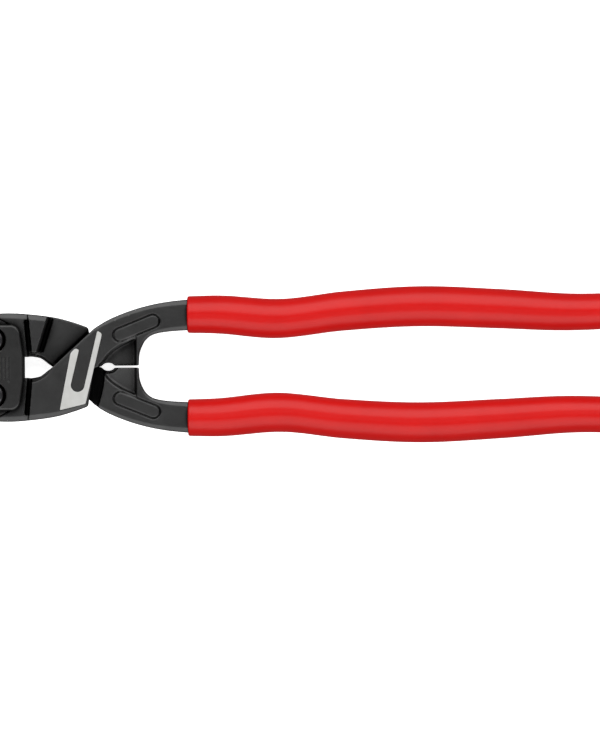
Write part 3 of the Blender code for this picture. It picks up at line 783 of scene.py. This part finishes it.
def knuckle_place():
    """On the pitch circle, half the travel before the line of bolts."""
    angle = math.pi / 2 - TRAVEL / 2
    return Vector((PITCH_RADIUS * math.cos(angle), PITCH_RADIUS * math.sin(angle) - BOLT_Y))


def knuckle():
    """The tooth on the front half of the boss that turns in the other lever's notch."""
    profile = [(KNUCKLE_RADIUS, LAP_HALF_GAP), (KNUCKLE_RADIUS, SEAT)]
    return turned("knuckle", profile, knuckle_place(), TURNED_STEPS // 2)


def notch():
    place = knuckle_place()
    radius = KNUCKLE_RADIUS + KNUCKLE_CLEARANCE
    out = (place - Vector((0.0, -BOLT_Y))).normalized()
    across = Vector((out.y, -out.x)) * radius
    angle = math.atan2(out.y, out.x)
    far = place + out * BEYOND
    outline = [
        *arc(place, radius, angle + math.pi / 2, angle + 3 * math.pi / 2),
        tuple(far + across),
        tuple(far - across),
    ]
    return prism("notch", outline, -FACE - BEYOND, LAP_HALF_GAP)


def bore_cutter():
    """The bush's bore and the washer pockets round it."""
    pocket = WASHER_RADIUS + GAP
    floor = WASHER_UNDER - GAP
    bore = BUSH_RADIUS + GAP
    profile = [(pocket, FACE + BEYOND), (pocket, floor), (bore, floor)]
    profile += [(radius, -z) for radius, z in reversed(profile)]
    return turned("bore", profile, (0.0, -BOLT_Y))


def root_end():
    """Trims the root square where the grip starts."""
    start = GRIP_START - END_CLEARANCE
    outline = [(start, 0.0), (start + BEYOND, 0.0), (start + BEYOND, 2 * HEAD_SIDE), (start, 2 * HEAD_SIDE)]
    return prism("root_end", outline, -BEYOND, BEYOND)


def bar_outline(start, end, half_width):
    """A run of the handle bar seen from the front, with its rounded rims."""
    places = [start + (end - start) * i / BAR_STEPS for i in range(BAR_STEPS + 1)]
    lower = [(x, handle_centre(x) - half_width, TANG_RIM) for x in places]
    upper = [(x, handle_centre(x) + half_width, TANG_RIM) for x in reversed(places)]
    return lower + upper


def tang():
    """The handle bar inside the grip."""
    outline = bar_outline(GRIP_START - TANG_OVERLAP, TANG_END, TANG_HALF)
    return slab("tang", outline, TANG_DROP - FACE, FACE - TANG_DROP)


def make_lever():
    outline = head_edge() + crossing_edge() + root_edges() + throat_edge() + boss_and_blade()
    lever = cut(slab("lever", outline, -FACE, FACE, profile=BEVELLED_RIM), head_end())
    head = cut(slab("head", outline, -SEAT, SEAT, profile=BEVELLED_RIM), handle_end(), *blade_cutters())
    join(lever, head)
    cut(lever, lap_pocket(), throat_relief(), throat_step(), *lap_grooves(), *channel_cutters())
    cut(lever, *web_cutters(), *eye_cutters(), *pill_cutters(), notch())
    join(lever, knuckle(), *pill_floors())
    cut(lever, bore_cutter())
    soften(lever)
    join(cut(lever, root_end()), tang())
    lever.data.shade_smooth()
    return lever


# ---------------------------------------------------------------- polished band


def make_band():
    """A flat bright band across the arm: a foot with two strips that lean over a darker slot."""
    lean = Vector((math.cos(BAND_LEAN), math.sin(BAND_LEAN)))
    across = Vector((lean.y, -lean.x))
    slot_end = Vector((29.55, -6.3))
    slot_half = 2.35

    def at(start, along, side):
        point = start + lean * along + across * side
        return (point.x, point.y)

    foot_left = (23.3, -14.9)
    foot_right = Vector((32.25, -12.75))
    right_strip = [foot_left, tuple(foot_right), (*at(foot_right, 24.9, 0.0), 0.8),
                   (*at(foot_right, 25.6, -1.85), 0.8)]
    slot = arc(slot_end, slot_half, BAND_LEAN - math.pi / 2, BAND_LEAN - 3 * math.pi / 2)
    left_strip = [(*at(slot_end, 12.0, -slot_half), 0.4), (28.9, 6.5, 0.9), (27.2, 4.9, 0.6)]
    outline = rounded_run([left_strip[-1], *right_strip, slot[0][:2]], 0.5)
    outline += slot
    outline += rounded_run([slot[-1][:2], *left_strip, foot_left], 0.4)
    band = slab("band", with_rim(outline, BAND_RIM), FACE - BAND_SINK, FACE + BAND_RAISE,
                round_low=False, profile=FLAT_THEN_ROUND_RIM)
    return crisp(band)


# ---------------------------------------------------------------- grips


def grip_half_width(x):
    return TANG_HALF + GAP + GRIP_WALL + between(GRIP_SWELL, (x - GRIP_START) / (HANDLE_END - GRIP_START))


def grip_section(x, inset):
    """A soft rounded rectangle with a shallow seam along the front and the back."""
    centre = handle_centre(x)
    half_width = grip_half_width(x) - inset
    half_height = GRIP_HALF_HEIGHT - inset
    power = 2 / SECTION_POWER
    points = []
    for i in range(SECTION_POINTS):
        c = math.cos(2 * math.pi * (i + 0.5) / SECTION_POINTS)
        s = math.sin(2 * math.pi * (i + 0.5) / SECTION_POINTS)
        y = half_width * math.copysign(abs(c) ** power, c)
        z = half_height * math.copysign(abs(s) ** power, s)
        seam = math.exp(-((y + SEAM_INWARD) / SEAM_WIDTH) ** 2)
        z -= math.copysign(SEAM_DEPTH * seam * min(1.0, abs(z) / half_height) ** 4, z)
        points.append((x, centre + y, z))
    return points


def make_grip():
    end_round = grip_half_width(HANDLE_END)
    sections = []
    for i in range(COLLAR_STEPS + 1):
        angle = math.pi / 2 * i / COLLAR_STEPS
        inset = GRIP_ROUND * (1 - math.sin(angle))
        sections.append(grip_section(GRIP_START + GRIP_ROUND * (1 - math.cos(angle)), inset))
    start = GRIP_START + GRIP_ROUND
    length = HANDLE_END - end_round - start
    sections += [grip_section(start + length * i / LENGTH_STEPS, 0.0) for i in range(1, LENGTH_STEPS + 1)]
    for i in range(1, END_STEPS + 1):
        angle = math.pi / 2 * i / END_STEPS
        inset = END_SHARE * end_round * (1 - math.cos(angle))
        sections.append(grip_section(HANDLE_END - end_round * (1 - math.sin(angle)), inset))
    grip = body_from_rings("grip", sections)
    socket = bar_outline(GRIP_START - BEYOND, TANG_END + GAP, TANG_HALF + GAP)
    return crisp(cut(grip, slab("socket", socket, -FACE - GAP, FACE + GAP)))


# ---------------------------------------------------------------- side plates and pivots


def plate_outline(rim):
    top = PLATE_SIDE
    corner = PLATE_CORNER
    sweep = math.radians(80)
    right = [
        (PLATE_RIGHT, 0.24 * top),
        (PLATE_RIGHT - 0.12 * PLATE_TAPER, 0.34 * top),
        (PLATE_RIGHT - 0.45 * PLATE_TAPER, 0.50 * top),
    ]
    half = with_rim(smooth(right, 3), rim)
    half += arc((PLATE_RIGHT - PLATE_TAPER - corner, top - corner), corner, 0.1, sweep, rim)
    half += arc((PLATE_LEFT + corner, top - corner), corner, math.pi - sweep, math.pi, rim)
    return half + [(x, -y, r) for x, y, r in reversed(half)]


def make_plate():
    """A side plate with rounded edges, two sunken bolt seats and fine grooves between them."""
    plate = slab("plate", plate_outline(PLATE_RIM), PLATE_UNDER, PLATE_TOP, round_low=False,
                 profile=FLAT_THEN_ROUND_RIM)
    recess = HEAD_RADIUS + GAP
    floor = PLATE_UNDER + SEAT_FLOOR
    profile = [
        (recess + 1.2, PLATE_TOP + OVERCUT),
        (recess + 0.35, PLATE_TOP),
        (recess + 0.08, PLATE_TOP - 0.2),
        (recess, PLATE_TOP - 0.5),
        (recess, floor + 0.3),
        (recess - 0.3, floor),
        (PLATE_HOLE, floor),
        (PLATE_HOLE, PLATE_UNDER - OVERCUT),
    ]
    cutters = [turned("bolt_seat", profile, (0.0, side * BOLT_Y)) for side in (-1, 1)]
    middle = (PLATE_LEFT + PLATE_RIGHT) / 2
    for i in range(RIB_COUNT):
        x = middle + RIB_SPACING * (i - (RIB_COUNT - 1) / 2)
        groove = stadium((x, -0.4), RIB_LENGTH, RIB_WIDTH, math.pi / 2)
        cutters.append(prism("groove", groove, PLATE_TOP - RIB_DEPTH, PLATE_TOP + OVERCUT))
    return crisp(divided(cut(plate, *cutters), PLATE_CELL))


def make_bolt(side):
    """A bolt with a domed head, a hex drive and a stud that ends in the nut."""
    seat = BOLT_CROWN - HEAD_HEIGHT
    profile = [
        (0.2, BOLT_CROWN),
        (1.9, BOLT_CROWN),
        (2.6, BOLT_CROWN - 0.03),
        (3.1, BOLT_CROWN - 0.11),
        (3.5, BOLT_CROWN - 0.26),
        (3.8, BOLT_CROWN - 0.48),
        (4.05, BOLT_CROWN - 0.78),
        (4.3, BOLT_CROWN - 1.0),
        (HEAD_RADIUS, BOLT_CROWN - 1.1),
        (HEAD_RADIUS, seat),
        (STUD_RADIUS, seat),
        (STUD_RADIUS, STUD_END + 0.4),
        (STUD_RADIUS - 0.4, STUD_END),
        (0.2, STUD_END),
    ]
    bolt = turned("bolt", profile, (0.0, side * BOLT_Y))
    drive_profile = [
        (DRIVE_RADIUS + 0.25, BOLT_CROWN + 0.4),
        (DRIVE_RADIUS, BOLT_CROWN - 0.15),
        (DRIVE_RADIUS, BOLT_CROWN - 0.6),
    ]
    drive = turned("drive", drive_profile, (0.0, side * BOLT_Y), 6)
    return crisp(divided(cut(bolt, drive), BOLT_CELL))


def make_nut(side):
    """A round nut, slotted across its outer face."""
    profile = [
        (NUT_BORE, NUT_TOP),
        (HEAD_RADIUS, NUT_TOP),
        (HEAD_RADIUS, NUT_UNDER + 0.2),
        (HEAD_RADIUS - 0.2, NUT_UNDER),
        (NUT_BORE + 0.15, NUT_UNDER),
        (NUT_BORE, NUT_UNDER + 0.15),
    ]
    bm = bmesh.new()
    rings = []
    for i in range(TURNED_STEPS):
        a = 2 * math.pi * i / TURNED_STEPS
        rings.append([bm.verts.new((r * math.cos(a), side * BOLT_Y + r * math.sin(a), z))
                      for r, z in profile])
    for first, second in zip(rings, rings[1:] + rings[:1]):
        for j in range(len(profile)):
            k = (j + 1) % len(profile)
            bm.faces.new((first[j], first[k], second[k], second[j]))
    bmesh.ops.recalc_face_normals(bm, faces=bm.faces)
    mesh = bpy.data.meshes.new("nut")
    bm.to_mesh(mesh)
    bm.free()
    nut = new_object("nut", mesh)
    half = NUT_SLOT_HALF
    low = side * BOLT_Y - NUT_SLOT_REACH
    high = side * BOLT_Y + NUT_SLOT_REACH
    slot = [(-half, low), (half, low), (half, high), (-half, high)]
    return crisp(cut(nut, prism("slot", slot, NUT_UNDER - OVERCUT, NUT_UNDER + NUT_SLOT_DEPTH)))


# ---------------------------------------------------------------- materials

# How open a place is, from 0 to 1, where the painted shade in hollows starts and where it is darkest, and
# the share of its colour that is left there
HOLLOW_OPEN = 0.87
HOLLOW_CLOSED = 0.56
HOLLOW_LEFT = 0.01

# The range in which most of a noise pattern lies
NOISE_LOW = 0.3
NOISE_HIGH = 0.7

# How far from a wall the painted shade reaches over the surface beside it, in metres
FORGING_SHADE_REACH = 0.007
TURNED_SHADE_REACH = 0.003

WORN_STEEL = 0.09
WORN_SHARE = 2.2
GROUND_ANGLE = math.radians(13.5)


def node_material(name):
    material = bpy.data.materials.new(name)
    material.use_nodes = True
    return material, material.node_tree, material.node_tree.nodes["Principled BSDF"]


def add_node(tree, kind, **inputs):
    node = tree.nodes.new(kind)
    for key, value in inputs.items():
        node.inputs[key.replace("_", " ")].default_value = value
    return node


def noise_at(tree, scale, detail=4.0, stretch=None):
    """A noise pattern fixed to the piece. Scale is in features to the metre."""
    coordinates = tree.nodes.new("ShaderNodeTexCoord")
    noise = add_node(tree, "ShaderNodeTexNoise", Scale=scale, Detail=detail, Roughness=0.55)
    source = coordinates.outputs["Object"]
    if stretch:
        mapping = add_node(tree, "ShaderNodeMapping", Rotation=stretch[0], Scale=stretch[1])
        tree.links.new(source, mapping.inputs["Vector"])
        source = mapping.outputs["Vector"]
    tree.links.new(source, noise.inputs["Vector"])
    return noise.outputs["Fac"]


def remap(tree, value, low, high, new_low, new_high):
    node = add_node(tree, "ShaderNodeMapRange")
    for key, number in (("From Min", low), ("From Max", high), ("To Min", new_low), ("To Max", new_high)):
        node.inputs[key].default_value = number
    tree.links.new(value, node.inputs["Value"])
    return node.outputs["Result"]


def spread(tree, noise, low=0.0, high=1.0):
    """Stretches the middle of the noise, where most of it lies, from low to high."""
    return remap(tree, noise, NOISE_LOW, NOISE_HIGH, low, high)


def blend_colours(tree, factor, first, second):
    node = tree.nodes.new("ShaderNodeMix")
    node.data_type = "RGBA"
    tree.links.new(factor, node.inputs[0])
    for socket, colour in ((node.inputs[6], first), (node.inputs[7], second)):
        if isinstance(colour, tuple):
            socket.default_value = (*colour, 1.0)
        else:
            tree.links.new(colour, socket)
    return node.outputs[2]


def bump(tree, height, distance, strength, normal=None):
    node = add_node(tree, "ShaderNodeBump", Distance=distance, Strength=strength)
    tree.links.new(height, node.inputs["Height"])
    if normal:
        tree.links.new(normal, node.inputs["Normal"])
    return node.outputs["Normal"]


def edge_wear(tree):
    """How exposed a convex edge is, from 0 to 1, broken up by noise."""
    geometry = tree.nodes.new("ShaderNodeNewGeometry")
    exposed = remap(tree, geometry.outputs["Pointiness"], 0.52, 0.60, 0.0, 1.0)
    patches = remap(tree, noise_at(tree, 900.0), 0.35, 0.7, 0.2, 1.0)
    product = tree.nodes.new("ShaderNodeMath")
    product.operation = "MULTIPLY"
    tree.links.new(exposed, product.inputs[0])
    tree.links.new(patches, product.inputs[1])
    return product.outputs[0]


def paint_shade_in_hollows(tree, colour, reach):
    """Paints shade into the colour where little light gets in, as ambient occlusion finds it. Reach is in
    metres.
    """
    hollow = add_node(tree, "ShaderNodeAmbientOcclusion", Distance=reach)
    hollow.samples = 8
    openness = remap(tree, hollow.outputs["AO"], HOLLOW_CLOSED, HOLLOW_OPEN, HOLLOW_LEFT, 1.0)
    # Painted shade: the colour is blended towards black in hollows, gaps and corners
    return blend_colours(tree, openness, (0.0, 0.0, 0.0), colour)


def black_steel(name, dark, light, roughness):
    """Blackened steel: uneven grey oxide, a blasted grain, paler worn edges and painted shade in the
    hollows.
    """
    material, tree, shader = node_material(name)
    cloud = spread(tree, noise_at(tree, 160.0, 5.0))
    oxide = blend_colours(tree, cloud, (dark,) * 3, (light,) * 3)
    colour = blend_colours(tree, edge_wear(tree), oxide, (WORN_STEEL,) * 3)
    # Painted shade: the oxide colour darkens in hollows and gaps
    tree.links.new(paint_shade_in_hollows(tree, colour, FORGING_SHADE_REACH), shader.inputs["Base Color"])
    fine = noise_at(tree, 5200.0, 2.0)
    rough = spread(tree, fine, roughness - 0.05, roughness + 0.06)
    tree.links.new(rough, shader.inputs["Roughness"])
    shader.inputs["Metallic"].default_value = 0.92
    wide = bump(tree, noise_at(tree, 420.0, 3.0), 0.00006, 0.5)
    tree.links.new(bump(tree, fine, 0.00004, 0.6, wide), shader.inputs["Normal"])
    return material


def polished_steel():
    """Bare steel, ground along the band."""
    material, tree, shader = node_material("polished_steel")
    lines = noise_at(tree, 9000.0, 3.0, ((0.0, 0.0, GROUND_ANGLE), (1.0, 0.03, 1.0)))
    cloud = spread(tree, noise_at(tree, 300.0))
    colour = blend_colours(tree, cloud, (0.50, 0.50, 0.48), (0.56, 0.56, 0.545))
    tree.links.new(colour, shader.inputs["Base Color"])
    tree.links.new(spread(tree, lines, 0.32, 0.46), shader.inputs["Roughness"])
    shader.inputs["Metallic"].default_value = 0.55
    tree.links.new(bump(tree, lines, 0.00001, 0.5), shader.inputs["Normal"])
    return material


def turned_steel(name, colour_low, colour_high, roughness):
    """Machined metal with fine marks, worn edges and painted shade in its hollows."""
    material, tree, shader = node_material(name)
    marks = noise_at(tree, 4200.0, 3.0, ((0.0, 0.0, 0.0), (1.0, 1.0, 6.0)))
    colour = blend_colours(tree, spread(tree, marks), colour_low, colour_high)
    worn = tuple(WORN_SHARE * channel for channel in colour_high)
    colour = blend_colours(tree, edge_wear(tree), colour, worn)
    # Painted shade: the colour darkens in hollows and recesses
    tree.links.new(paint_shade_in_hollows(tree, colour, TURNED_SHADE_REACH), shader.inputs["Base Color"])
    rough = spread(tree, marks, roughness - 0.05, roughness + 0.07)
    tree.links.new(rough, shader.inputs["Roughness"])
    shader.inputs["Metallic"].default_value = 0.9
    tree.links.new(bump(tree, marks, 0.00001, 0.5), shader.inputs["Normal"])
    return material


def dipped_plastic():
    """Glossy red dipped vinyl with a faint orange peel."""
    material, tree, shader = node_material("grip_plastic")
    cloud = spread(tree, noise_at(tree, 60.0, 3.0))
    colour = blend_colours(tree, cloud, (0.42, 0.0030, 0.0024), (0.46, 0.0042, 0.0034))
    tree.links.new(colour, shader.inputs["Base Color"])
    peel = noise_at(tree, 700.0, 2.0)
    tree.links.new(spread(tree, peel, 0.32, 0.40), shader.inputs["Roughness"])
    shader.inputs["Specular IOR Level"].default_value = 0.22
    tree.links.new(bump(tree, peel, 0.00003, 0.5), shader.inputs["Normal"])
    return material


# ---------------------------------------------------------------- stage, lights and camera

# Metres and watts
FLOOR_HALF = 12.0
FLOOR_DROP = 0.0001
FLOOR_GLOW = 0.88
ROOM_GLOW = 0.15
SOFTBOX_SIDE = 0.85
SOFTBOX_HEIGHT = 0.75
SOFTBOX_SIZE = (2.4, 1.3)
KEY_POWER = 30.0
FILL_POWER = 23.0
VIEW_SIDE = 0.2531
VIEW_SHIFT = 0.00025
VIEW_ROLL = math.radians(-0.46)


def add_softbox(name, side, power):
    """A large soft light beside and above the tool, aimed at its middle."""
    data = bpy.data.lights.new(name, "AREA")
    data.shape = "RECTANGLE"
    data.size, data.size_y = SOFTBOX_SIZE
    data.energy = power
    lamp = bpy.data.objects.new(name, data)
    bpy.context.scene.collection.objects.link(lamp)
    lamp.location = (0.0, side * SOFTBOX_SIDE, SOFTBOX_HEIGHT)
    lamp.rotation_euler = (-lamp.location).to_track_quat("-Z", "Y").to_euler()


def make_stage():
    """A plain pale floor that keeps white under the tool."""
    bm = bmesh.new()
    bmesh.ops.create_grid(bm, x_segments=1, y_segments=1, size=FLOOR_HALF)
    mesh = bpy.data.meshes.new("floor")
    bm.to_mesh(mesh)
    bm.free()
    floor = new_object("floor", mesh)
    floor.location.z = -FLOOR_DROP
    material, tree, shader = node_material("pale_floor")
    shader.inputs["Base Color"].default_value = (0.93, 0.93, 0.93, 1.0)
    shader.inputs["Roughness"].default_value = 0.9
    shader.inputs["Specular IOR Level"].default_value = 0.1
    shader.inputs["Emission Color"].default_value = (1.0, 1.0, 1.0, 1.0)
    shader.inputs["Emission Strength"].default_value = FLOOR_GLOW
    floor.data.materials.append(material)
    floor.visible_glossy = False
    floor.visible_diffuse = False


def make_lights():
    world = bpy.data.worlds.new("studio")
    world.use_nodes = True
    background = world.node_tree.nodes["Background"]
    background.inputs["Color"].default_value = (1.0, 1.0, 1.0, 1.0)
    background.inputs["Strength"].default_value = ROOM_GLOW
    bpy.context.scene.world = world
    add_softbox("key_softbox", 1, KEY_POWER)
    add_softbox("fill_softbox", -1, FILL_POWER)


def make_camera():
    """Straight above, from far away, turned a little about its own axis."""
    data = bpy.data.cameras.new("camera")
    data.lens = 300.0
    data.sensor_width = 36.0
    camera = bpy.data.objects.new("camera", data)
    bpy.context.scene.collection.objects.link(camera)
    distance = VIEW_SIDE * data.lens / data.sensor_width
    camera.location = (0.0, VIEW_SHIFT, ORIGIN.z + distance)
    camera.rotation_euler = (0.0, 0.0, VIEW_ROLL)
    data.clip_end = 100.0
    bpy.context.scene.camera = camera


# ---------------------------------------------------------------- the whole tool


def main():
    forged = black_steel("forged_steel", 0.041, 0.051, 0.40)
    plate_steel = black_steel("plate_steel", 0.034, 0.042, 0.38)
    bolt_steel = turned_steel("bolt_steel", (0.035, 0.035, 0.037), (0.055, 0.055, 0.057), 0.30)
    washer_steel = turned_steel("washer_steel", (0.030, 0.030, 0.031), (0.045, 0.045, 0.046), 0.36)
    bronze = turned_steel("bearing_bronze", (0.45, 0.24, 0.09), (0.58, 0.33, 0.14), 0.34)
    polished = polished_steel()
    red = dipped_plastic()

    lever = add_piece(make_lever(), "upper_forging", "upper_lever", "forged_steel", forged, "upper_lever")
    turned_over(lever, "lower_forging", "lower_lever", "forged_steel", "lower_lever")
    band = add_piece(make_band(), "upper_polished_band", "upper_lever", "forged_steel", polished)
    turned_over(band, "lower_polished_band", "lower_lever", "forged_steel")
    grip = add_piece(make_grip(), "upper_handle_grip", "upper_lever", "grip_plastic", red, "upper_grip")
    turned_over(grip, "lower_handle_grip", "lower_lever", "grip_plastic", "lower_grip")
    plate = add_piece(make_plate(), "front_plate", "root", "plate_steel", plate_steel, "front_side_plate")
    turned_over(plate, "rear_plate", "root", "plate_steel", "rear_side_plate")
    for place, side in (("upper", 1), ("lower", -1)):
        add_piece(make_bolt(side), f"{place}_bolt", "root", "bolt_steel", bolt_steel, f"{place}_pivot_bolt")
        add_piece(make_nut(side), f"{place}_nut", "root", "bolt_steel", bolt_steel, f"{place}_pivot_nut")
    for name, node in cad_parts.items():
        if name.endswith("washer") or name.endswith("bush"):
            node.data.materials.clear()
            node.data.materials.append(bronze if name.endswith("bush") else washer_steel)
    make_stage()
    make_lights()
    make_camera()
    bpy.context.scene.view_settings.view_transform = "Standard"


main()
